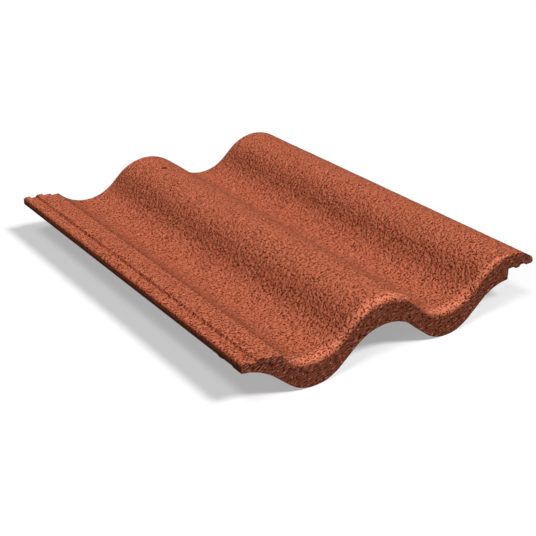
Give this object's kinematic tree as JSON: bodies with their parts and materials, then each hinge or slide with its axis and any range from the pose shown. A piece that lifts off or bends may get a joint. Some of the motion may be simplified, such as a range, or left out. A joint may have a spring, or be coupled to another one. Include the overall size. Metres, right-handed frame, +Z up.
{
  "type": "concrete roof tile",
  "caption": "Wavy interlocking concrete roof tile with ribbed side laps, a rounded foot over sealing bars, hanging nibs under its head and a nail hole through a crest.",
  "frame": {"origin": "middle of the tile's footprint, on the floor it lies on, level with the nib ends and the foot bar", "axes": "+X across the roof from the water lap to the cover lap, +Y up the slope from the rounded foot to the head, +Z up out of the weathered face"},
  "size_m": [0.3314, 0.42, 0.0608],
  "materials": {
    "concrete": "terracotta red pigmented concrete, matt, granular and finely pitted"
  },
  "bodies": {
    "root": {"roof_tile": "concrete"}
  },
  "joints": []
}
